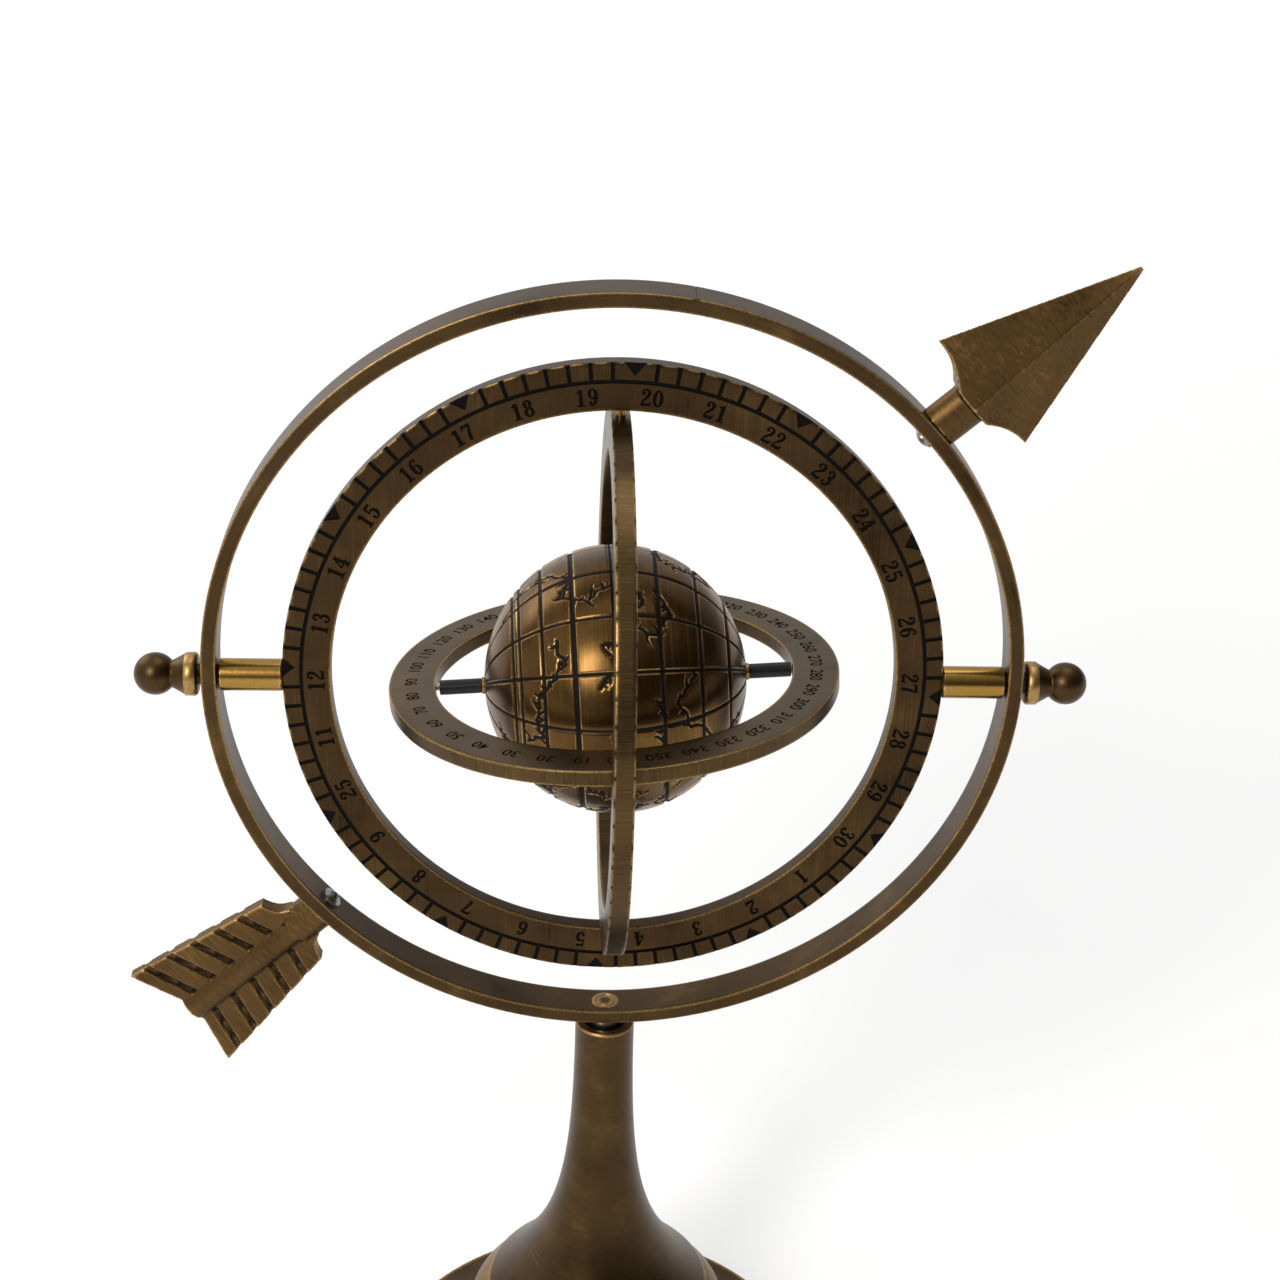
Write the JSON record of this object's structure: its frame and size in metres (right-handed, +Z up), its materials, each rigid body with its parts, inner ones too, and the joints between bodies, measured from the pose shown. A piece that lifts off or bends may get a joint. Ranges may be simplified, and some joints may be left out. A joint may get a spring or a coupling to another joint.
{
  "type": "armillary sphere",
  "caption": "Desk armillary sphere: a globe inside nested zodiac, meridian and dial rings that turn on crossed pivots within a fixed outer ring with an arrow, on a trumpet stem and foot.",
  "frame": {"origin": "middle of the felt under the foot, on the surface that the object stands on", "axes": "+Z up the stem, +X to the side where the arrow's head points, -Y to the side that the dial's numerals face"},
  "size_m": [0.2452, 0.1366, 0.3496],
  "materials": {
    "antique_brass": "dark antique brass, brushed, edges worn bright",
    "cast_brass": "cast antique brass, hand filed",
    "globe_brass": "antique brass, turned, engraved lines blackened",
    "bright_brass": "plain turned brass",
    "steel": "plain steel",
    "black_sleeve": "black tube",
    "felt": "dark felt"
  },
  "bodies": {
    "stand": {"felt_pad": "felt", "foot": "antique_brass", "collar": "antique_brass", "stem": "antique_brass", "tie_rod": "steel", "rod_washer": "steel", "rod_nut": "steel", "ring_rivet": "antique_brass", "outer_ring": "antique_brass", "arrow_head": "cast_brass", "arrow_tail": "cast_brass", "arrow_screws": "steel"},
    "dial": {"dial_ring": "antique_brass", "finial_left": "antique_brass", "finial_right": "antique_brass", "spacer_tube_left": "bright_brass", "spacer_tube_right": "bright_brass", "pole_pin_top": "steel", "pole_pin_bottom": "steel"},
    "meridian": {"meridian_ring": "antique_brass", "pivot_screw_front": "steel", "pivot_screw_back": "steel"},
    "zodiac": {"zodiac_ring": "antique_brass"},
    "globe": {"globe_left": "globe_brass", "globe_right": "globe_brass", "globe_axle": "steel", "ferrule_left": "bright_brass", "ferrule_right": "bright_brass", "axle_sleeve_left": "black_sleeve", "axle_sleeve_right": "black_sleeve"}
  },
  "joints": [
    {"name": "dial_turn", "type": "hinge", "parent": "stand", "child": "dial", "pos_m": [0, 0, 0.241], "axis": [1, 0, 0], "continuous": true},
    {"name": "meridian_turn", "type": "hinge", "parent": "dial", "child": "meridian", "pos_m": [0, 0, 0.241], "axis": [0, 0.068, 0.9977], "continuous": true},
    {"name": "zodiac_turn", "type": "hinge", "parent": "meridian", "child": "zodiac", "pos_m": [0, 0, 0.241], "axis": [-0.0087, 0.9976, -0.068], "continuous": true},
    {"name": "globe_turn", "type": "hinge", "parent": "zodiac", "child": "globe", "pos_m": [0, 0, 0.241], "axis": [0.9978, 0.0132, 0.0655], "continuous": true}
  ]
}
